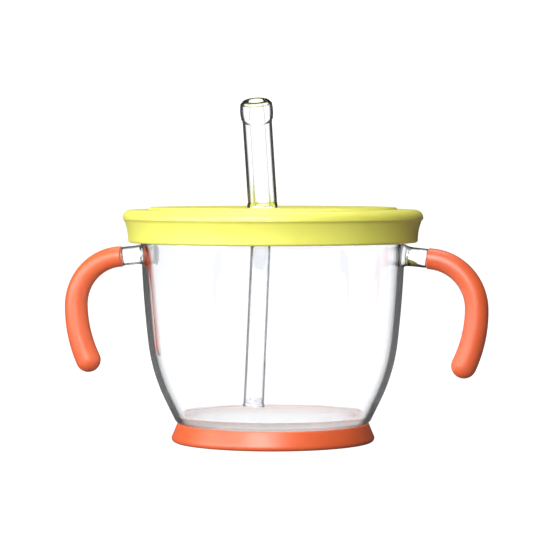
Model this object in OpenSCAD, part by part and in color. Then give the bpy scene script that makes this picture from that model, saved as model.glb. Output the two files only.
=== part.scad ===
// Straw training cup: clear two-handled cup, press-on lid, swivelling spout and straw tube.
// Origin at the centre of the foot's underside. +Z up, handles along X, the drinker on the -Y side.

/* [Cup] */
// Height of the rim above the table
rim_z = 75; // [70:0.5:80]
// Thickness of the wall
wall_t = 2.8; // [2.4:0.1:3.4]
// Height of the drinking chamber's floor above the table
floor_z = 9.4; // [8.8:0.1:10.4]
// Thickness of the floor
floor_t = 3; // [2:0.1:3.2]
// Outer radius of the wall's lower edge, just above the foot ring
base_r = 32.7; // [32:0.1:33]
// Outer radius of the collar that the lid grips
collar_r = 45.9; // [45.4:0.1:46.4]
// Radius of the mouth
mouth_r = 41; // [40.6:0.1:41.2]

/* [Foot] */
// Height of the foot ring
foot_h = 6.2; // [5.6:0.1:6.4]
// Largest radius of the foot ring
foot_r = 33.9; // [33:0.1:35]

/* [Handles] */
// Height of an arm's axis where it leaves the wall
arm_z = 62.2; // [58:0.1:62.4]
// Radius of the bare arm between the wall and the grip
arm_r = 3.15; // [2.8:0.05:3.2]
// Radius of the flared foot that joins an arm to the wall
arm_foot_r = 3.75; // [3.6:0.01:4]
// Radius of the core that runs inside a grip
core_r = 2.3; // [1.8:0.1:2.4]
// Fall of the arm where it leaves the wall, in degrees
arm_drop = 6; // [0:1:10]
// Radius of the handle's main bend
bend_r = 16.6; // [15:0.1:20]
// Radius of the inward curl below the main bend
curl_r = 43; // [30:1:60]
// Turn of the inward curl, in degrees
curl_turn = 25.5; // [15:0.5:35]
// Radius of a grip at its open end
grip_root_r = 3.45; // [3.4:0.05:3.8]
// Radius of a grip at its tip
grip_tip_r = 4.2; // [4:0.1:5]

/* [Lid] */
// Outer radius of the lid
lid_r = 50; // [49.5:0.1:51]
// Height of the lid's lower edge above the table
lid_edge_z = 66.4; // [66.2:0.1:68]
// Height of the raised disc on the lid above the table
lid_top_z = 78.1; // [77.8:0.1:79]
// Radius of the raised disc
disc_r = 41; // [36:0.5:43]
// Radius of the air vent
vent_r = 0.8; // [0.5:0.1:1.2]

/* [Straw] */
// Lean of the straw tube from the vertical, in degrees
tube_lean = 11; // [8:0.5:11]
// Lean of the spout from the vertical, in degrees
spout_lean = 16.3; // [8:0.1:20]
// Outer radius of the straw tube
tube_r = 3.25; // [2.8:0.05:3.3]
// Radius of the straw tube's bore
tube_bore_r = 2.45; // [1.8:0.05:2.5]
// Length of the straw tube
tube_len = 63.7; // [56:0.1:63.8]
// Outer radius of the spout
spout_r = 4.75; // [4.5:0.05:4.9]
// Largest radius of the spout's lip
lip_r = 5.35; // [5:0.05:5.8]
// Radius of the spout's bore
spout_bore_r = 2.5; // [2:0.1:2.8]
// Length of the spout from its bend to its tip
spout_len = 34.8; // [28:0.1:40]

/* [Hidden] */
$fn = 96;

coral = [1.0, 0.49, 0.33];
yellow = [0.96, 0.97, 0.42];
clear = [0.93, 0.95, 0.97, 0.35];
soft_clear = [0.94, 0.95, 0.96, 0.45];

// The wall's slope from the vertical: at the base, at the belly and at the shoulder
base_slope = 26.6;
belly_slope = 6.5;
shoulder_slope = 1.5;
belly_bend = 60;
side_bend = 380;
cone_h = 6.5;
base_z = 7.2;
floor_corner = 0.5;

fit = 0.05;
slip = 0.03;
bond = 0.02;

// The foot ring's socket for the cup's skirt
skirt_r = 30.4;
skirt_t = 2.2;
foot_web = 1.6;
foot_hole_r = 27.4;
foot_edge = 1.2;
foot_top_r = 31.8;

// The lid's skirt, collar grip and seal
collar_z = 68.4;
crease_z = 74.3;
lid_corner = 2.8;
ring_z = 77.3;
lid_skirt_r = 48.2;
lid_bore_r = 46.6;
lid_under_z = 75.6;
plug_z = 71;
plug_t = 1.9;
rib_r = collar_r + fit;

// The handle's centreline, as distance out from the cup's axis and height
arm_start = 44;
arm_straight = 9.55;
grip_start = 8.1;
bend_turn = 90 - arm_drop;
bend_len = bend_r * bend_turn * PI / 180;
curl_len = curl_r * curl_turn * PI / 180;
handle_len = arm_straight + bend_len + curl_len;
core_len = handle_len - 4;
bend_start = [arm_start + arm_straight * cos(arm_drop), arm_z - arm_straight * sin(arm_drop)];
bend_centre = bend_start - bend_r * [sin(arm_drop), cos(arm_drop)];
curl_centre = bend_centre + [bend_r - curl_r, 0];
core_rings = 24;
grip_sides = 20;
grip_rings = 26;
tip_rings = 6;

// The straw's seat in the lid: the spout turns on it about the tube's axis
spout_bend = [0, -15.7, 79.3];
tube_axis = [0, sin(tube_lean), cos(tube_lean)];
foot_height = 2.4;
spout_foot_r = 5;
seat_r = 5.2;
seat = spout_bend - foot_height * tube_axis;
plug_len = 8.5;
plug_r = 4.1;
boss_r = 6.3;
boss_len = 7;
lip_len = 6.4;
lip_top_r = 4.7;

// Points on an arc about c, from angle a to angle b
function arc(c, r, a, b, n = 10) =
    [for (i = [0:n]) c + r * [cos(a + (b - a) * i / n), sin(a + (b - a) * i / n)]];

// The wall's outer line from the base up to the shoulder, moved inwards by t.
// A slope s belongs to the arc's angle -s, because the arc bulges outwards.
belly_start = [base_r, base_z + 0.2] + cone_h * [sin(base_slope), cos(base_slope)];
belly_centre = belly_start - belly_bend * [cos(base_slope), -sin(base_slope)];
side_start = belly_centre + belly_bend * [cos(belly_slope), -sin(belly_slope)];
side_centre = side_start - side_bend * [cos(belly_slope), -sin(belly_slope)];
function wall_line(t) = concat(
    arc(belly_centre, belly_bend - t, -base_slope, -belly_slope, 12),
    arc(side_centre, side_bend - t, -belly_slope, -shoulder_slope, 8));
function line_at(p, slope, z) = p[0] + (z - p[1]) * tan(slope);

inner_line = wall_line(wall_t);
outer_line = wall_line(0);
floor_r = line_at(inner_line[0], base_slope, floor_z);
wall_top = outer_line[len(outer_line) - 1];

module turned(points) {
    rotate_extrude() polygon(points);
}

// Everything inside the cup's outer skin, grown by g
module cup_envelope(g = 0) {
    grown = wall_line(-g);
    last = grown[len(grown) - 1];
    turned(concat([[0, base_z], [base_r + g, base_z]], grown,
                  [[last[0], rim_z], [0, rim_z]]));
}

module cup_body() {
    inner_top = inner_line[len(inner_line) - 1];
    inner_back = [for (i = [len(inner_line) - 1:-1:0]) inner_line[i]];
    color(clear) turned(concat(
        [[0, floor_z - floor_t], [skirt_r - skirt_t, floor_z - floor_t],
         [skirt_r - skirt_t, foot_web + fit], [skirt_r, foot_web + fit],
         [skirt_r, foot_h + fit], [foot_top_r, foot_h + fit], [base_r, base_z], [base_r, base_z + 0.2]],
        outer_line,
        [[wall_top[0], collar_z - 1], [collar_r, collar_z]],
        arc([collar_r - 0.8, rim_z - 0.8], 0.8, 0, 90, 4),
        arc([mouth_r + 0.8, rim_z - 0.8], 0.8, 90, 180, 4),
        [[mouth_r, collar_z - 1], inner_top],
        inner_back,
        arc([floor_r - floor_corner, floor_z + floor_corner], floor_corner, -base_slope, -90, 4),
        [[0, floor_z]]));
}

// A point on the handle's centreline at length s from the wall, and its heading below the level
function heading(s) =
    s < arm_straight ? arm_drop :
    s < arm_straight + bend_len ? arm_drop + (s - arm_straight) / bend_r * 180 / PI :
    90 + (s - arm_straight - bend_len) / curl_r * 180 / PI;
function centreline(s) =
    s < arm_straight ? [arm_start, arm_z] + s * [cos(arm_drop), -sin(arm_drop)] :
    s < arm_straight + bend_len ? bend_centre + bend_r * [sin(heading(s)), cos(heading(s))] :
    curl_centre + curl_r * [sin(heading(s)), cos(heading(s))];

// A ring of points of radius r round the centreline at length s
function ring(s, r) =
    let (p = centreline(s), h = heading(s))
    [for (i = [0:grip_sides - 1])
        let (a = 360 * i / grip_sides)
        [p[0] + r * cos(a) * sin(h), r * sin(a), p[1] + r * cos(a) * cos(h)]];

// One closed skin through stacked rings, closed at both ends
module skin(rings) {
    n = len(rings[0]);
    m = len(rings);
    polyhedron(
        points = [for (r = rings) each r],
        faces = concat(
            [for (k = [0:m - 2], i = [0:n - 1], half = [0, 1])
                let (j = (i + 1) % n)
                half == 0 ? [k * n + i, k * n + j, (k + 1) * n + i]
                          : [k * n + j, (k + 1) * n + j, (k + 1) * n + i]],
            [[for (i = [n - 1:-1:0]) i]],
            [[for (i = [0:n - 1]) (m - 1) * n + i]]));
}

module arm() {
    color(clear) {
        difference() {
            translate([arm_start, 0, arm_z]) rotate([0, 90 + arm_drop, 0]) {
                translate([0, 0, -2]) cylinder(r = arm_r, h = grip_start + 2);
                cylinder(r1 = arm_foot_r + 0.15, r2 = arm_r - 0.05, h = 2.2);
                translate([0, 0, -2]) cylinder(r = arm_foot_r + 0.15, h = 2);
            }
            cup_envelope(bond);
        }
        skin([for (k = [0:core_rings])
            ring(grip_start - 1 + (core_len - grip_start + 1) * k / core_rings, core_r)]);
    }
}

function grip_r(s) =
    grip_root_r + (grip_tip_r - grip_root_r) * (s - grip_start) / (handle_len - grip_start);

module grip() {
    hollow_r = (core_r + fit) / cos(180 / grip_sides);
    end = handle_len;
    color(coral) difference() {
        skin(concat(
            [for (k = [0:grip_rings])
                let (s = grip_start + (end - grip_start) * k / grip_rings)
                ring(s, grip_r(s))],
            [for (k = [1:tip_rings])
                let (a = 88 * k / tip_rings)
                [for (q = ring(end, grip_tip_r * cos(a)))
                    q + grip_tip_r * sin(a) * [cos(heading(end)), 0, -sin(heading(end))]]]));
        skin(concat(
            [for (k = [-1:grip_rings - 2])
                ring(grip_start + (end - grip_start) * k / grip_rings, hollow_r)],
            [ring(core_len - 0.5, hollow_r), ring(core_len + fit, hollow_r)]));
    }
}

module foot_ring() {
    color(coral) turned(concat(
        [[foot_hole_r, 0.6], [foot_hole_r + 0.6, 0]],
        arc([foot_r - foot_edge, foot_edge], foot_edge, -90, 0, 6),
        [[foot_top_r + 0.4, foot_h - 0.5], [foot_top_r - 0.1, foot_h],
         [skirt_r + fit, foot_h], [skirt_r + fit, foot_web],
         [foot_hole_r, foot_web]]));
}

// The lid's section: disc, ring, rounded corner, skirt, grip ribs, seat and plug
module lid_shell() {
    rib_z = [68.6, 70.9, 73.2];
    skirt_dip = 0.35;
    turned(concat(
        [[0, lid_top_z]],
        arc([disc_r - 0.6, lid_top_z - 0.6], 0.6, 90, 20, 4),
        [[disc_r + 0.3, ring_z]],
        arc([lid_r - lid_corner, ring_z - lid_corner], lid_corner, 90, 0, 8),
        [[lid_r, crease_z], [lid_r - 0.45, crease_z - 0.35]],
        [for (i = [1:5])
            let (f = i / 6)
            [lid_r - 0.45 + (lid_skirt_r - lid_r + 0.45) * f - skirt_dip * sin(180 * f),
             crease_z - 0.35 + (lid_edge_z + 0.8 - crease_z + 0.35) * f]],
        arc([lid_skirt_r - 0.8, lid_edge_z + 0.8], 0.8, 0, -90, 4),
        [[lid_bore_r, lid_edge_z], [lid_bore_r, rib_z[0] - 0.6]],
        [for (z = rib_z, k = [0:3])
            [k == 0 || k == 3 ? lid_bore_r : rib_r, z + [-0.5, -0.2, 0.2, 0.5][k]]],
        [[lid_bore_r, rim_z], [mouth_r - fit, rim_z], [mouth_r - 0.4, plug_z],
         [mouth_r - plug_t, plug_z], [mouth_r - plug_t - 0.3, lid_under_z], [0, lid_under_z]]));
}

// Places what is drawn about +Z on the straw tube's axis, with its zero at the seat
module on_tube_axis() {
    translate(seat) rotate([-tube_lean, 0, 0]) children();
}

module lid() {
    color(yellow) difference() {
        union() {
            lid_shell();
            on_tube_axis() translate([0, 0, -boss_len]) cylinder(r = boss_r, h = boss_len - 0.4);
        }
        on_tube_axis() {
            translate([0, 0, -boss_len - 1]) cylinder(r = plug_r + slip, h = boss_len + 2);
            cylinder(r = seat_r, h = 6);
        }
        translate([0, 22, lid_under_z - 1]) cylinder(r = vent_r, h = 5);
    }
}

module straw_tube() {
    end_bead = 0.2;
    color(clear) on_tube_axis() rotate([180, 0, 0]) turned([
        [tube_bore_r, 0], [tube_r, 0], [tube_r, tube_len - 1.2],
        [tube_r + end_bead, tube_len - 0.9], [tube_r + end_bead, tube_len - 0.3],
        [tube_r - 0.2, tube_len], [tube_bore_r, tube_len]]);
}

// The spout's lip: a barrel that bulges out of the tube and closes over a rounded edge
function lip_line() = concat(
    [[spout_r, spout_len - lip_len - 0.2], [spout_r - 0.15, spout_len - lip_len]],
    [for (i = [0:8])
        let (f = i / 8)
        [spout_r + 0.1 + (lip_r - spout_r - 0.1) * sin(30 + 120 * f),
         spout_len - lip_len + 0.3 + (lip_len - 1.2) * f]],
    arc([lip_top_r - 0.7, spout_len - 0.7], 0.7, 20, 90, 4),
    [[spout_bore_r + 0.3, spout_len], [spout_bore_r, spout_len - 0.4]]);

module spout() {
    color(soft_clear) difference() {
        union() {
            on_tube_axis() {
                translate([0, 0, -plug_len]) cylinder(r = plug_r, h = plug_len + 0.2);
                cylinder(r = spout_foot_r, h = foot_height);
            }
            translate(spout_bend) sphere(spout_r);
            translate(spout_bend) rotate([spout_lean, 0, 0])
                turned(concat([[0, 0], [spout_r, 0]], lip_line(), [[0, spout_len - 0.4]]));
        }
        on_tube_axis() {
            translate([0, 0, -plug_len - 1]) cylinder(r = tube_r + slip, h = plug_len + 1);
            translate([0, 0, -1]) cylinder(r = spout_bore_r, h = foot_height + 1);
        }
        translate(spout_bend) sphere(spout_bore_r);
        translate(spout_bend) rotate([spout_lean, 0, 0])
            cylinder(r = spout_bore_r, h = spout_len + 1);
    }
}

cup_body();
mirror([1, 0, 0]) arm();  // handle_arm_left
arm();  // handle_arm_right
mirror([1, 0, 0]) grip();  // grip_left
grip();  // grip_right
foot_ring();
lid();
straw_tube();
spout();
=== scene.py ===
"""Straw training cup: smooth lathed and swept pieces, their materials, and a small white studio."""

import math

import bmesh
import bpy
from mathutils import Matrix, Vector


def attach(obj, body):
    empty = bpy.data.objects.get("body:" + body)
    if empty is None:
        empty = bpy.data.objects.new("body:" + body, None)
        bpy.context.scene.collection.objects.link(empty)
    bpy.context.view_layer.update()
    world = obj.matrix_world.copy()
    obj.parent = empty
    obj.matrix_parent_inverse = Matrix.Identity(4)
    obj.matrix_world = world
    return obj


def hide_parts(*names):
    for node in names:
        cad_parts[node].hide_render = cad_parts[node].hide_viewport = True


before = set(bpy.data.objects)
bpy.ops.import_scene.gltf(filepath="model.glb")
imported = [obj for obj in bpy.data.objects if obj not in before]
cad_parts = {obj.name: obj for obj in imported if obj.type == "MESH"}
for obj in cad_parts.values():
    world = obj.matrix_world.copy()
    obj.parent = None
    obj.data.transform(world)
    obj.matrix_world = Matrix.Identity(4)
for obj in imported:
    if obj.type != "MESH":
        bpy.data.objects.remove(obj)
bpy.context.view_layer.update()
scene = bpy.context.scene

# Outlines and paths are in millimetres, as on a drawing. build() turns them into metres.
MM = 0.001
TURN_STEPS = 192

# The numbers of a clear piece's materials
INSIDE, OUTSIDE, END_FACE, CORNER = range(4)

# Cup
RIM_Z = 75.0
COLLAR_Z = 68.4
WALL_T = 2.8
FLOOR_Z = 9.4
FLOOR_T = 3.0
BASE_R = 32.7
COLLAR_R = 45.9
MOUTH_R = 41.0
FOOT_H = 6.2
BASE_Z = 7.2
BASE_SLOPE = 26.6
BELLY_SLOPE = 6.5
SHOULDER_SLOPE = 1.5
BELLY_BEND = 60.0
SIDE_BEND = 380.0
CONE_H = 6.5
SKIRT_R = 30.4
SKIRT_T = 2.2
FIT = 0.05

# Foot ring
FOOT_R = 33.9
FOOT_TOP_R = 31.8
FOOT_HOLE_R = 27.4
FOOT_WEB = 1.6

# Handles
ARM_START = 44.0
ARM_Z = 62.2
ARM_R = 3.15
ARM_FOOT_R = 3.85
CORE_R = 2.3
ARM_DROP = 6.0
ARM_STRAIGHT = 9.55
BEND_R = 16.6
CURL_R = 43.0
CURL_TURN = 25.5
GRIP_START = 8.1
GRIP_ROOT_R = 3.45
GRIP_TIP_R = 4.2

# Lid
LID_R = 50.0
LID_EDGE_Z = 66.4
LID_TOP_Z = 78.1
RING_Z = 77.3
CREASE_Z = 74.3
DISC_R = 41.0
LID_SKIRT_R = 48.2
LID_BORE_R = 46.6
LID_UNDER_Z = 75.6
PLUG_Z = 71.0
VENT_R = 0.8
VENT_Y = 22.0

# Straw
TUBE_LEAN = 11.0
SPOUT_LEAN = 16.3
TUBE_R = 3.25
TUBE_BORE_R = 2.45
TUBE_LEN = 63.7
SPOUT_R = 4.75
LIP_R = 5.35
LIP_LEN = 6.4
SPOUT_BORE_R = 2.5
SPOUT_LEN = 34.8
SPOUT_BEND = (0.0, -15.7, 79.3)
SPOUT_FOOT_H = 2.4
SPOUT_FOOT_R = 5.0
SEAT_R = 5.2
SPOUT_PLUG_R = 4.1
SPOUT_PLUG_LEN = 8.5
BOSS_R = 6.3
BOSS_LEN = 7.0

# Camera: the height it stands at, how far off, which way round and what it looks at
VIEW_AZIMUTH = 12.5
VIEW_DISTANCE = 0.840
VIEW_HEIGHT = 0.0892
AIM_HEIGHT = 0.0553
AIM_RIGHT = 0.00083
LENS = 164.8


# ---------------------------------------------------------------- outlines

def arc(centre, radius, start, end, steps=10):
    """Points on an arc, from the angle start to the angle end."""
    points = []
    for i in range(steps + 1):
        turn = math.radians(start + (end - start) * i / steps)
        points.append((centre[0] + radius * math.cos(turn), centre[1] + radius * math.sin(turn)))
    return points


def rounded(corners, steps=6):
    """An outline with rounded corners. A corner is (x, y, radius), or (x, y) where it stays sharp."""
    points = []
    for i, corner in enumerate(corners):
        here = Vector(corner[:2])
        if len(corner) == 2:
            points.append(tuple(here))
            continue
        back = Vector(corners[i - 1][:2]) - here
        ahead = Vector(corners[(i + 1) % len(corners)][:2]) - here
        half = back.angle(ahead) / 2
        centre = here + (back.normalized() + ahead.normalized()).normalized() * corner[2] / math.sin(half)
        first = here + back.normalized() * corner[2] / math.tan(half) - centre
        last = here + ahead.normalized() * corner[2] / math.tan(half) - centre
        span = first.angle(last)
        for k in range(steps + 1):
            part = k / steps
            swing = (first * math.sin((1 - part) * span) + last * math.sin(part * span)) / math.sin(span)
            points.append(tuple(centre + swing))
    return points


def split(points, longest):
    """The same outline with its long straight stretches cut into shorter ones."""
    out = []
    for i, point in enumerate(points):
        out.append(point)
        after = points[(i + 1) % len(points)]
        if i == len(points) - 1 and point[0] == 0:
            break
        cuts = int(math.dist(point, after) / longest)
        for k in range(1, cuts + 1):
            part = k / (cuts + 1)
            out.append(tuple(a + (b - a) * part for a, b in zip(point, after)))
    return out


# ---------------------------------------------------------------- meshes

def upright(s):
    """A place on the cup's axis at height s: the point, and two directions across the axis."""
    return Vector((0, 0, s)), Vector((1, 0, 0)), Vector((0, 1, 0))


def ring(place, radius, steps):
    """A ring of points round a place, or one point where the radius is nothing."""
    centre, across, up = place
    if radius < 1e-6:
        return [centre]
    turns = [2 * math.pi * k / steps for k in range(steps)]
    return [centre + (across * math.cos(t) + up * math.sin(t)) * radius for t in turns]


def build(name, rings, sharp=40):
    """A closed mesh through a stack of rings: it ends in single points, or joins round to its start."""
    mesh = bmesh.new()
    rows = [[mesh.verts.new(point * MM) for point in row] for row in rings]
    pairs = list(zip(rows, rows[1:]))
    if len(rows[0]) > 1:
        pairs.append((rows[-1], rows[0]))
    for low, high in pairs:
        steps = max(len(low), len(high))
        for k in range(steps):
            after = (k + 1) % steps
            corners = [low[k % len(low)], low[after % len(low)], high[after % len(high)], high[k % len(high)]]
            mesh.faces.new(list(dict.fromkeys(corners)))
    bmesh.ops.recalc_face_normals(mesh, faces=mesh.faces)
    data = bpy.data.meshes.new(name)
    mesh.to_mesh(data)
    mesh.free()
    data.shade_smooth()
    data.set_sharp_from_angle(angle=math.radians(sharp))
    piece = bpy.data.objects.new(name, data)
    scene.collection.objects.link(piece)
    return piece


def turned(name, outline, place=upright, steps=TURN_STEPS, skin=None):
    """A solid of revolution from (radius, distance) points, about an axis or along a bent path.
    skin gives the number of the material that a band of the outline has."""
    piece = build(name, [ring(place(s), radius, steps) for radius, s in outline])
    if skin:
        for face in piece.data.polygons:
            row = face.index // steps
            (r0, s0), (r1, s1) = outline[row], outline[(row + 1) % len(outline)]
            face.material_index = skin((r0 + r1) / 2, (s0 + s1) / 2)
    return piece


def carve(piece, *cutters):
    """Cuts the cutters out of a piece for good."""
    for cutter in cutters:
        cut = piece.modifiers.new("cut", "BOOLEAN")
        cut.operation = "DIFFERENCE"
        cut.solver = "EXACT"
        cut.object = cutter
    keep(piece, cutters)


def weld(piece, *others):
    """Joins other solids to a piece for good."""
    for other in others:
        join = piece.modifiers.new("join", "BOOLEAN")
        join.operation = "UNION"
        join.solver = "EXACT"
        join.object = other
    keep(piece, others)


def keep(piece, spent):
    """Applies a piece's modifiers and deletes the solids that they used."""
    shape = piece.evaluated_get(bpy.context.evaluated_depsgraph_get())
    done = bpy.data.meshes.new_from_object(shape)
    piece.modifiers.clear()
    old = piece.data
    piece.data = done
    bpy.data.meshes.remove(old)
    for other in spent:
        bpy.data.objects.remove(other)
    done.shade_smooth()
    done.set_sharp_from_angle(angle=math.radians(40))


def finish_piece(piece, materials, body, node):
    """Dresses a piece, joins it to its body and lets it stand for its CAD node."""
    numbers = [face.material_index for face in piece.data.polygons]
    piece.data.materials.clear()
    for each in materials:
        piece.data.materials.append(each)
    piece.data.polygons.foreach_set("material_index", numbers)
    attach(piece, body)
    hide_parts(node)


# ---------------------------------------------------------------- cup and foot ring

def wall_line(inwards):
    """The wall's line from the base up to the collar, moved inwards."""
    base = math.radians(BASE_SLOPE)
    belly = math.radians(BELLY_SLOPE)
    start = (BASE_R + CONE_H * math.sin(base), BASE_Z + 0.2 + CONE_H * math.cos(base))
    belly_centre = (start[0] - BELLY_BEND * math.cos(base), start[1] + BELLY_BEND * math.sin(base))
    side = (belly_centre[0] + BELLY_BEND * math.cos(belly), belly_centre[1] - BELLY_BEND * math.sin(belly))
    side_centre = (side[0] - SIDE_BEND * math.cos(belly), side[1] + SIDE_BEND * math.sin(belly))
    return (arc(belly_centre, BELLY_BEND - inwards, -BASE_SLOPE, -BELLY_SLOPE, 24)
            + arc(side_centre, SIDE_BEND - inwards, -BELLY_SLOPE, -SHOULDER_SLOPE, 24)[1:])


def wall_radius(z):
    """The wall's outer radius at height z."""
    line = [(BASE_R, BASE_Z), *wall_line(0)]
    for (r0, z0), (r1, z1) in zip(line, line[1:]):
        if z0 <= z <= z1:
            return r0 + (r1 - r0) * (z - z0) / (z1 - z0)
    return line[-1][0]


def make_cup():
    outer = wall_line(0)
    inner = wall_line(WALL_T)
    floor_r = inner[0][0] - (inner[0][1] - FLOOR_Z) * math.tan(math.radians(BASE_SLOPE))
    outline = rounded([
        (0, FLOOR_Z - FLOOR_T),
        (SKIRT_R - SKIRT_T, FLOOR_Z - FLOOR_T, 0.5),
        (SKIRT_R - SKIRT_T, FOOT_WEB + FIT, 0.3),
        (SKIRT_R, FOOT_WEB + FIT, 0.3),
        (SKIRT_R, FOOT_H + FIT, 0.2),
        (FOOT_TOP_R, FOOT_H + FIT, 0.1),
        (BASE_R, BASE_Z, 0.3),
        *outer,
        (outer[-1][0], COLLAR_Z - 1),
        (COLLAR_R, COLLAR_Z, 0.5),
        (COLLAR_R, RIM_Z, 0.8),
        (MOUTH_R, RIM_Z, 0.8),
        (MOUTH_R, COLLAR_Z - 1, 1.5),
        *inner[::-1],
        (floor_r, FLOOR_Z, 0.5),
        (0, FLOOR_Z)])

    def skin(r, z):
        if z < FLOOR_Z - FLOOR_T + 0.1 and r < SKIRT_R - SKIRT_T:
            return END_FACE
        # The band just above the foot ring takes a dark edge line: painted shade where the ring meets the
        # cup.
        if r > FOOT_TOP_R - 0.1 and FOOT_H + FIT < z < BASE_Z:
            return CORNER
        return OUTSIDE if z >= BASE_Z and r > wall_radius(z) - WALL_T / 2 else INSIDE
    return turned("cup_shell", outline, steps=256, skin=skin)


def make_foot_ring():
    outline = rounded([
        (FOOT_HOLE_R, 0, 0.6),
        (FOOT_R, 0, 1.2),
        (FOOT_R - 0.02, 1.5),
        (FOOT_TOP_R + 0.1, FOOT_H, 0.4),
        (SKIRT_R + FIT, FOOT_H, 0.15),
        (SKIRT_R + FIT, FOOT_WEB, 0.2),
        (FOOT_HOLE_R, FOOT_WEB, 0.3)])
    return turned("foot_ring_skin", split(outline, 1.5))


# ---------------------------------------------------------------- handles

BEND_TURN = 90 - ARM_DROP
BEND_LEN = math.radians(BEND_TURN) * BEND_R
CURL_LEN = math.radians(CURL_TURN) * CURL_R
HANDLE_LEN = ARM_STRAIGHT + BEND_LEN + CURL_LEN
CORE_LEN = HANDLE_LEN - 4


def handle_path(side):
    """The handle's centreline as a place for each length along it. side is 1 on the right, -1 on the left."""
    drop = math.radians(ARM_DROP)
    straight_end = (ARM_START + ARM_STRAIGHT * math.cos(drop), ARM_Z - ARM_STRAIGHT * math.sin(drop))
    bend_centre = (straight_end[0] - BEND_R * math.sin(drop), straight_end[1] - BEND_R * math.cos(drop))
    curl_centre = (bend_centre[0] + BEND_R - CURL_R, bend_centre[1])

    def place(s):
        if s < ARM_STRAIGHT:
            fall = drop
            x = ARM_START + s * math.cos(drop)
            z = ARM_Z - s * math.sin(drop)
        elif s < ARM_STRAIGHT + BEND_LEN:
            fall = drop + (s - ARM_STRAIGHT) / BEND_R
            x = bend_centre[0] + BEND_R * math.sin(fall)
            z = bend_centre[1] + BEND_R * math.cos(fall)
        else:
            curl = min(s, HANDLE_LEN) - ARM_STRAIGHT - BEND_LEN
            fall = math.pi / 2 + curl / CURL_R
            beyond = max(0, s - HANDLE_LEN)
            x = curl_centre[0] + CURL_R * math.sin(fall) + beyond * math.cos(fall)
            z = curl_centre[1] + CURL_R * math.cos(fall) - beyond * math.sin(fall)
        return (Vector((side * x, 0, z)), Vector((side * math.sin(fall), 0, math.cos(fall))),
                Vector((0, 1, 0)))
    return place


def grip_radius(s):
    return GRIP_ROOT_R + (GRIP_TIP_R - GRIP_ROOT_R) * (s - GRIP_START) / (HANDLE_LEN - GRIP_START)


def make_grip(side_name, side):
    """A silicone sleeve with a rounded mouth, a slow taper and a round tip, hollow for the arm's core."""
    bore = CORE_R + FIT
    lip = 0.45
    outline = [(bore, CORE_LEN + 0.3), (bore, CORE_LEN - 8)]
    outline += rounded([(bore, GRIP_START + 6), (bore, GRIP_START, 0.2), (GRIP_ROOT_R, GRIP_START, lip),
                        (grip_radius(GRIP_START + 2), GRIP_START + 2)])[1:-1]
    rings = 72
    for k in range(rings + 1):
        s = GRIP_START + 1 + (HANDLE_LEN - GRIP_START - 1) * k / rings
        outline.append((grip_radius(s), s))
    outline += arc_tip()
    hollow_end = [(0, CORE_LEN + 0.3)]
    return turned("grip_sleeve_" + side_name, hollow_end + split_bore(outline), handle_path(side), 96)


def arc_tip():
    """The grip's round tip as (radius, length) points."""
    return [(GRIP_TIP_R * math.cos(math.radians(a)), HANDLE_LEN + GRIP_TIP_R * math.sin(math.radians(a)))
            for a in range(6, 91, 6)]


def split_bore(outline):
    """Cuts the bore's long run, so that it follows the bend."""
    radius, start = outline[0]
    end = outline[2][1]
    steps = 40
    run = [(radius, start + (end - start) * k / steps) for k in range(steps)]
    return run + outline[2:]


def make_arm(side_name, side):
    """A clear arm: its root is shaped to the wall, then a flare, a bare stub and the core in the grip."""
    root = 0.15
    outline = [(ARM_FOOT_R * k / 6, -1.0) for k in range(7)]
    outline += rounded([(ARM_FOOT_R, -1.0), (ARM_FOOT_R, root, 0.25), (ARM_R + 0.2, 1.2, 1.0),
                        (ARM_R, 3.2), (ARM_R, GRIP_START - FIT, 0.3), (CORE_R, GRIP_START - FIT + 0.02, 0.05),
                        (CORE_R, GRIP_START + 1)], steps=5)[1:]
    steps = 48
    for k in range(1, steps + 1):
        outline.append((CORE_R, GRIP_START + 1 + (CORE_LEN - 0.4 - GRIP_START - 1) * k / steps))
    outline += [(CORE_R - 0.4, CORE_LEN), (0, CORE_LEN)]
    piece = turned("clear_arm_" + side_name, outline, handle_path(side), 96,
                   lambda r, s: END_FACE if s < 0 else OUTSIDE if r > ARM_R - 0.1 else INSIDE)
    gap = 0.02
    for vertex in piece.data.vertices:
        x, y, z = (value / MM for value in vertex.co)
        wall = math.sqrt((wall_radius(z) + gap) ** 2 - y ** 2)
        if abs(x) < wall:
            vertex.co.x = side * wall * MM
    return piece


# ---------------------------------------------------------------- straw

def lean(angle):
    return Vector((0, -math.sin(angle), math.cos(angle)))


TUBE_UP = Vector((0, math.sin(math.radians(TUBE_LEAN)), math.cos(math.radians(TUBE_LEAN))))
SPOUT_UP = lean(math.radians(SPOUT_LEAN))
SEAT = Vector(SPOUT_BEND) - TUBE_UP * SPOUT_FOOT_H


def on_tube(s):
    """A place on the straw tube's axis, s above the spout's seat in the lid."""
    return SEAT + TUBE_UP * s, Vector((1, 0, 0)), Vector((0, TUBE_UP.z, -TUBE_UP.y))


def on_spout(s):
    """A place on the spout's path: the tube's axis, a short smooth bend, and the spout's own axis."""
    bend = 4.0
    start = SPOUT_FOOT_H - bend / 2
    turn = TUBE_UP.angle(SPOUT_UP)
    if s <= start:
        return on_tube(s)
    part = min(1, (s - start) / bend)
    along = TUBE_UP.slerp(SPOUT_UP, part)
    radius = bend / turn
    middle = TUBE_UP.slerp(SPOUT_UP, part / 2)
    chord = 2 * radius * math.sin(turn * part / 2)
    point = SEAT + TUBE_UP * start + middle * chord + SPOUT_UP * max(0, s - start - bend)
    return point, Vector((1, 0, 0)), Vector((0, along.z, -along.y))


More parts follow.
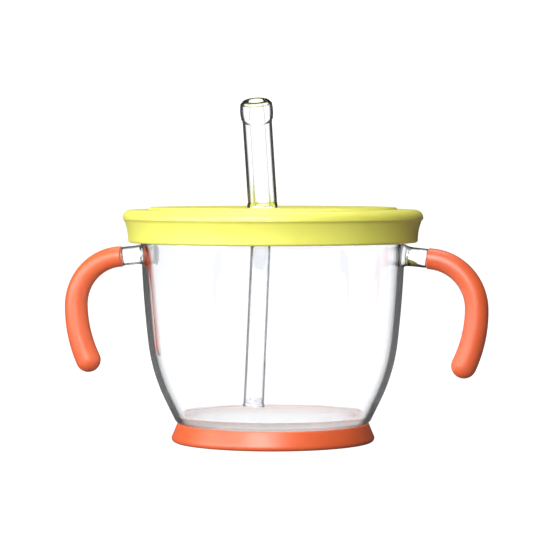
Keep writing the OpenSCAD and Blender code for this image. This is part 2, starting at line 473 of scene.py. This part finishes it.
def make_tube():
    bead = 0.2
    outline = rounded([
        (TUBE_BORE_R, 0, 0.15),
        (TUBE_R, 0, 0.25),
        (TUBE_R, -TUBE_LEN + 1.3),
        (TUBE_R + bead, -TUBE_LEN + 0.8, 0.3),
        (TUBE_R + bead, -TUBE_LEN, 0.35),
        (TUBE_BORE_R, -TUBE_LEN, 0.25)], steps=5)
    return turned("straw_tube_wall", split(outline, 2), on_tube, 96,
                  lambda r, s: OUTSIDE if r > TUBE_R - 0.1 else INSIDE)


def make_spout():
    """One soft moulding: a plug that holds the tube, a foot on the lid, the stem and the barrel lip."""
    top = SPOUT_FOOT_H + SPOUT_LEN
    low = top - LIP_LEN
    outline = rounded([
        (TUBE_R + 0.03, -SPOUT_PLUG_LEN, 0.2),
        (SPOUT_PLUG_R, -SPOUT_PLUG_LEN, 0.3),
        (SPOUT_PLUG_R, 0, 0.15),
        (SPOUT_FOOT_R, 0, 0.25),
        (SPOUT_FOOT_R, SPOUT_FOOT_H - 0.6, 0.5),
        (SPOUT_R, SPOUT_FOOT_H + 0.6, 0.5),
        (SPOUT_R, low - 0.4, 0.2),
        (SPOUT_R - 0.25, low, 0.2)], steps=5)
    lip_steps = 14
    for k in range(lip_steps + 1):
        part = k / lip_steps
        swell = math.sin(math.radians(30 + 120 * part))
        outline.append((SPOUT_R + 0.1 + (LIP_R - SPOUT_R - 0.1) * swell, low + 0.3 + (LIP_LEN - 1.3) * part))
    outline += arc((LIP_R - 1.6, top - 0.95), 0.95, 12, 90, 8)
    outline += rounded([
        (LIP_R - 1.6, top),
        (SPOUT_BORE_R, top, 0.5),
        (SPOUT_BORE_R, 0.3, 0.2),
        (TUBE_R + 0.03, 0.3, 0.2),
        (TUBE_R + 0.03, -SPOUT_PLUG_LEN)], steps=5)[1:-1]
    return turned("spout_stem", split(outline, 1.2), on_spout, 96,
                  lambda r, s: OUTSIDE if r > SPOUT_BORE_R + 0.05 and s > 0.3 else INSIDE)


# ---------------------------------------------------------------- lid

def make_lid():
    skirt_dip = 0.35
    skirt_top = CREASE_Z - 0.35
    skirt_low = LID_EDGE_Z + 0.8
    corner = 2.8
    outline = [(0, LID_TOP_Z)]
    outline += rounded([(0, LID_TOP_Z), (DISC_R, LID_TOP_Z, 0.6), (DISC_R + 0.35, RING_Z, 0.35),
                        (LID_R - corner, RING_Z)], steps=6)[1:-1]
    outline += arc((LID_R - corner, RING_Z - corner), corner, 90, 0, 18)
    outline += arc((LID_R - 0.25, CREASE_Z), 0.25, 0, -60, 4)
    steps = 14
    for k in range(1, steps):
        part = k / steps
        outline.append((
            LID_R - 0.45 + (LID_SKIRT_R - LID_R + 0.45) * part - skirt_dip * math.sin(math.pi * part),
            skirt_top + (skirt_low - skirt_top) * part))
    outline += arc((LID_SKIRT_R - 0.8, skirt_low), 0.8, 0, -90, 8)
    outline += [(LID_BORE_R, LID_EDGE_Z)]
    for z in (68.6, 70.9, 73.2):
        outline += [(LID_BORE_R, z - 0.5), (COLLAR_R + FIT, z - 0.2),
                    (COLLAR_R + FIT, z + 0.2), (LID_BORE_R, z + 0.5)]
    outline += rounded([(LID_BORE_R, RIM_Z - 1), (LID_BORE_R, RIM_Z, 0.3), (MOUTH_R - FIT, RIM_Z, 0.3),
                        (MOUTH_R - 0.4, PLUG_Z, 0.4), (MOUTH_R - 1.9, PLUG_Z, 0.4),
                        (MOUTH_R - 2.2, LID_UNDER_Z, 0.6), (0, LID_UNDER_Z)])[1:]
    lid = turned("lid_shell", outline)
    boss_outline = rounded([(0, -BOSS_LEN), (BOSS_R, -BOSS_LEN, 0.5), (BOSS_R, -0.6), (0, -0.6)])
    boss = turned("boss", boss_outline, on_tube, 96)
    weld(lid, boss)
    hole = turned("hole", [(0, -BOSS_LEN - 1), (SPOUT_PLUG_R + 0.03, -BOSS_LEN - 1), (SPOUT_PLUG_R + 0.03, 0),
                           (SEAT_R, 0), (SEAT_R, 6), (0, 6)], on_tube, 96)
    vent = turned("vent", [(0, LID_UNDER_Z - 1), (VENT_R, LID_UNDER_Z - 1), (VENT_R, LID_TOP_Z + 1),
                           (0, LID_TOP_Z + 1)], vent_place, 32)
    carve(lid, hole, vent)
    return lid


def vent_place(s):
    return Vector((0, VENT_Y, s)), Vector((1, 0, 0)), Vector((0, 1, 0))


# ---------------------------------------------------------------- materials

def material(name):
    """A new node material: returns it, its tree, its Principled node and its object coordinates."""
    made = bpy.data.materials.new(name)
    made.use_nodes = True
    tree = made.node_tree
    return made, tree, tree.nodes["Principled BSDF"], tree.nodes.new("ShaderNodeTexCoord").outputs["Object"]


def noise(tree, where, scale, detail=3.0, roughness=0.55):
    node = tree.nodes.new("ShaderNodeTexNoise")
    node.inputs["Scale"].default_value = scale
    node.inputs["Detail"].default_value = detail
    node.inputs["Roughness"].default_value = roughness
    tree.links.new(where, node.inputs["Vector"])
    return node.outputs["Fac"]


def ramp(tree, value, stops):
    """Turns a value into a colour. Each stop is (position, colour)."""
    node = tree.nodes.new("ShaderNodeValToRGB")
    while len(node.color_ramp.elements) < len(stops):
        node.color_ramp.elements.new(0.5)
    for element, (position, colour) in zip(node.color_ramp.elements, stops):
        element.position = position
        element.color = (*colour, 1)
    tree.links.new(value, node.inputs["Fac"])
    return node.outputs["Color"]


def spread(tree, value, low, high):
    """Spreads a value from 0-1 over a range."""
    node = tree.nodes.new("ShaderNodeMapRange")
    node.inputs["To Min"].default_value = low
    node.inputs["To Max"].default_value = high
    tree.links.new(value, node.inputs["Value"])
    return node.outputs["Result"]


def bump(tree, shader, height, strength, depth):
    node = tree.nodes.new("ShaderNodeBump")
    node.inputs["Strength"].default_value = strength
    node.inputs["Distance"].default_value = depth
    tree.links.new(height, node.inputs["Height"])
    tree.links.new(node.outputs["Normal"], shader.inputs["Normal"])


def silicone(name, deep, pale, glow):
    """Matte moulded silicone: faint cloudy colour, a fine spark-eroded grain and a soft sheen."""
    made, tree, shader, where = material(name)
    cloud = noise(tree, where, 70, detail=4)
    tree.links.new(ramp(tree, cloud, [(0.3, deep), (0.7, pale)]), shader.inputs["Base Color"])
    grain = noise(tree, where, 5200, detail=2)
    tree.links.new(spread(tree, noise(tree, where, 260), 0.36, 0.48), shader.inputs["Roughness"])
    bump(tree, shader, grain, 0.25, 0.00002)
    shader.inputs["Subsurface Weight"].default_value = 0.08
    shader.inputs["Subsurface Radius"].default_value = glow
    shader.inputs["Subsurface Scale"].default_value = 0.0015
    shader.inputs["Sheen Weight"].default_value = 0.03
    shader.inputs["Specular IOR Level"].default_value = 1.0
    return made


def painted_edge_shade(start, end, light):
    """Stops for painted edge shade: a skin painted darker once, towards its edge: clear up to start, and
    light from end on.
    """
    return [(0.0, 1.0), (start, 1.0), (end, light), (1.0, light)]


def clear(name, ior, stops, haze=(0.0, 0.02)):
    """Clear moulding with faint flow marks. stops are (facing, light): how much light comes through a skin
    that is seen face on, at 0, and edge on, at 1; this tint by the viewing angle paints the dark bands at the
    edges, painted shade.
    It acts only where light enters. The shader takes the root of its colour, so the ramp holds the square."""
    made, tree, shader, where = material(name)
    facing = tree.nodes.new("ShaderNodeLayerWeight")
    facing.inputs["Blend"].default_value = 0.5
    entering = tree.nodes.new("ShaderNodeMath")
    entering.operation = "SUBTRACT"
    entering.use_clamp = True
    tree.links.new(facing.outputs["Facing"], entering.inputs[0])
    tree.links.new(tree.nodes.new("ShaderNodeNewGeometry").outputs["Backfacing"], entering.inputs[1])
    # Painted shade: the ramp tints the skin darker as it turns edge on, for dark edge bands.
    edge_shade_tints = [(position, (light ** 2 * 0.97, light ** 2 * 0.98, light ** 2)) for position, light in stops]
    tree.links.new(ramp(tree, entering.outputs["Value"], edge_shade_tints), shader.inputs["Base Color"])
    tree.links.new(spread(tree, noise(tree, where, 90), *haze), shader.inputs["Roughness"])
    bump(tree, shader, noise(tree, where, 160, detail=1), 0.02, 0.00005)
    shader.inputs["Transmission Weight"].default_value = 1.0
    shader.inputs["IOR"].default_value = ior
    lamps = tree.nodes.new("ShaderNodeLightPath")
    passing = tree.nodes.new("ShaderNodeBsdfTransparent")
    passing.inputs["Color"].default_value = (0.9, 0.92, 0.94, 1)
    mix = tree.nodes.new("ShaderNodeMixShader")
    tree.links.new(lamps.outputs["Is Shadow Ray"], mix.inputs["Fac"])
    tree.links.new(shader.outputs["BSDF"], mix.inputs[1])
    tree.links.new(passing.outputs["BSDF"], mix.inputs[2])
    tree.links.new(mix.outputs["Shader"], tree.nodes["Material Output"].inputs["Surface"])
    return made


# ---------------------------------------------------------------- studio

def view_axes():
    """The camera's right and away directions on the floor."""
    turn = math.radians(VIEW_AZIMUTH)
    return Vector((math.cos(turn), math.sin(turn), 0)), Vector((-math.sin(turn), math.cos(turn), 0))


def make_camera():
    right, away = view_axes()
    data = bpy.data.cameras.new("camera")
    data.lens = LENS
    data.sensor_width = 36
    data.clip_start = 0.05
    data.clip_end = 60
    camera = bpy.data.objects.new("camera", data)
    scene.collection.objects.link(camera)
    camera.location = -away * VIEW_DISTANCE + Vector((0, 0, VIEW_HEIGHT))
    aim = right * AIM_RIGHT + Vector((0, 0, AIM_HEIGHT))
    camera.rotation_mode = "QUATERNION"
    camera.rotation_quaternion = (aim - camera.location).to_track_quat("-Z", "Y")
    scene.camera = camera


def panel(name, centre, aim, width, height):
    """A flat stage card that faces a point."""
    mesh = bmesh.new()
    bmesh.ops.create_grid(mesh, x_segments=1, y_segments=1, size=0.5)
    data = bpy.data.meshes.new(name)
    mesh.to_mesh(data)
    mesh.free()
    card = bpy.data.objects.new(name, data)
    scene.collection.objects.link(card)
    card.location = centre
    card.scale = (width, height, 1)
    card.rotation_mode = "QUATERNION"
    card.rotation_quaternion = (Vector(aim) - Vector(centre)).to_track_quat("Z", "Y")
    return card


def softbox(name, centre, aim, width, height, power, colour=(1, 1, 1)):
    data = bpy.data.lights.new(name, "AREA")
    data.shape = "RECTANGLE"
    data.size = width
    data.size_y = height
    data.energy = power
    data.color = colour
    lamp = bpy.data.objects.new(name, data)
    scene.collection.objects.link(lamp)
    lamp.location = centre
    lamp.rotation_mode = "QUATERNION"
    lamp.rotation_quaternion = (Vector(aim) - Vector(centre)).to_track_quat("-Z", "Y")
    return lamp


def seen_through(tree):
    """1 for rays that look at a stage surface straight or through clear pieces, 0 for light that it gives."""
    path = tree.nodes.new("ShaderNodeLightPath")
    either = tree.nodes.new("ShaderNodeMath")
    either.operation = "MAXIMUM"
    tree.links.new(path.outputs["Is Camera Ray"], either.inputs[0])
    tree.links.new(path.outputs["Is Transmission Ray"], either.inputs[1])
    return either.outputs["Value"]


def make_studio():
    right, away = view_axes()
    world = bpy.data.worlds.new("studio")
    scene.world = world
    world.use_nodes = True
    tree = world.node_tree
    background = tree.nodes["Background"]
    tree.links.new(ramp(tree, seen_through(tree), [(0, (0.07, 0.06, 0.045)), (1, (1.0, 1.0, 1.0))]),
                   background.inputs["Color"])
    background.inputs["Strength"].default_value = 1.2

    floor = panel("floor", (0, 0, -0.0002), (0, 0, 1), 40, 40)
    made = bpy.data.materials.new("floor_white")
    made.use_nodes = True
    tree = made.node_tree
    shader = tree.nodes["Principled BSDF"]
    where = tree.nodes.new("ShaderNodeTexCoord").outputs["Object"]
    paper = noise(tree, where, 900)
    greys = [(0.3, (0.14, 0.14, 0.14)), (0.7, (0.16, 0.16, 0.16))]
    tree.links.new(ramp(tree, paper, greys), shader.inputs["Base Color"])
    shader.inputs["Roughness"].default_value = 0.9
    shader.inputs["Specular IOR Level"].default_value = 0.0
    shader.inputs["Emission Color"].default_value = (1, 1, 1, 1)
    tree.links.new(spread(tree, seen_through(tree), 0.04, 1.1), shader.inputs["Emission Strength"])
    floor.data.materials.append(made)

    middle = (0, 0, 0.05)
    front = right * -0.2 - away * 0.75 + Vector((0, 0, 0.42))
    softbox("front", front, middle, 0.45, 0.6, 7.4)
    left = right * -0.75 - away * 0.35 + Vector((0, 0, 0.25))
    softbox("left", left, middle, 0.8, 0.5, 4.6)
    top = Vector((0, 0, 0.9)) + away * 0.2
    softbox("top", top, middle, 0.7, 0.7, 4.0)


# ---------------------------------------------------------------- the cup

make_camera()
make_studio()

coral = silicone("coral_silicone", (0.84, 0.125, 0.032), (0.92, 0.15, 0.042), (1.0, 0.3, 0.15))
yellow = silicone("yellow_silicone", (0.88, 0.87, 0.13), (0.94, 0.93, 0.16), (1.0, 0.9, 0.3))
# The clear pieces' stops paint dark bands at their edges: painted shade.
evenly_clear = [(0.0, 1.0), (1.0, 0.95)]
shell_inside = clear("clear_shell_inside", 1.54, evenly_clear)
shell = [shell_inside, clear("clear_shell", 1.54, painted_edge_shade(0.57, 0.7, 0.12)),
         # The underside is frosted, and its light grey tint is painted shade.
         clear("frosted_underside_painted_grey", 1.54, [(0.0, 0.92), (1.0, 0.9)], (0.35, 0.45)),
         # The corner band's stops paint a dark line where the foot ring meets the cup: painted shade.
         clear("clear_corner", 1.54, painted_edge_shade(0.42, 0.8, 0.12))]
# The arm's root face against the wall is tinted dark grey all over: painted shade.
arm = [shell_inside, clear("clear_arm", 1.54, painted_edge_shade(0.25, 0.45, 0.12)),
       clear("root_face_painted_shade", 1.54, [(0.0, 0.38), (1.0, 0.3)], (0.25, 0.35))]
tube = [clear("clear_tube_inside", 1.50, evenly_clear),
        clear("clear_tube", 1.50, painted_edge_shade(0.28, 0.46, 0.15))]
soft = [clear("clear_silicone_bore", 1.41, painted_edge_shade(0.5, 0.75, 0.25), (0.0, 0.03)),
        clear("clear_silicone", 1.41, painted_edge_shade(0.32, 0.46, 0.06), (0.0, 0.03))]

finish_piece(make_cup(), shell, "cup", "cup_body")
finish_piece(make_foot_ring(), [coral], "cup", "foot_ring")
for side_name, side in (("left", -1), ("right", 1)):
    finish_piece(make_arm(side_name, side), arm, "cup", "handle_arm_" + side_name)
    finish_piece(make_grip(side_name, side), [coral], "cup", "grip_" + side_name)
finish_piece(make_lid(), [yellow], "lid", "lid")
finish_piece(make_tube(), tube, "straw", "straw_tube")
finish_piece(make_spout(), soft, "spout", "spout")

scene.view_settings.view_transform = "Standard"
scene.cycles.max_bounces = 32
scene.cycles.transmission_bounces = 24
scene.cycles.glossy_bounces = 12
scene.cycles.diffuse_bounces = 4
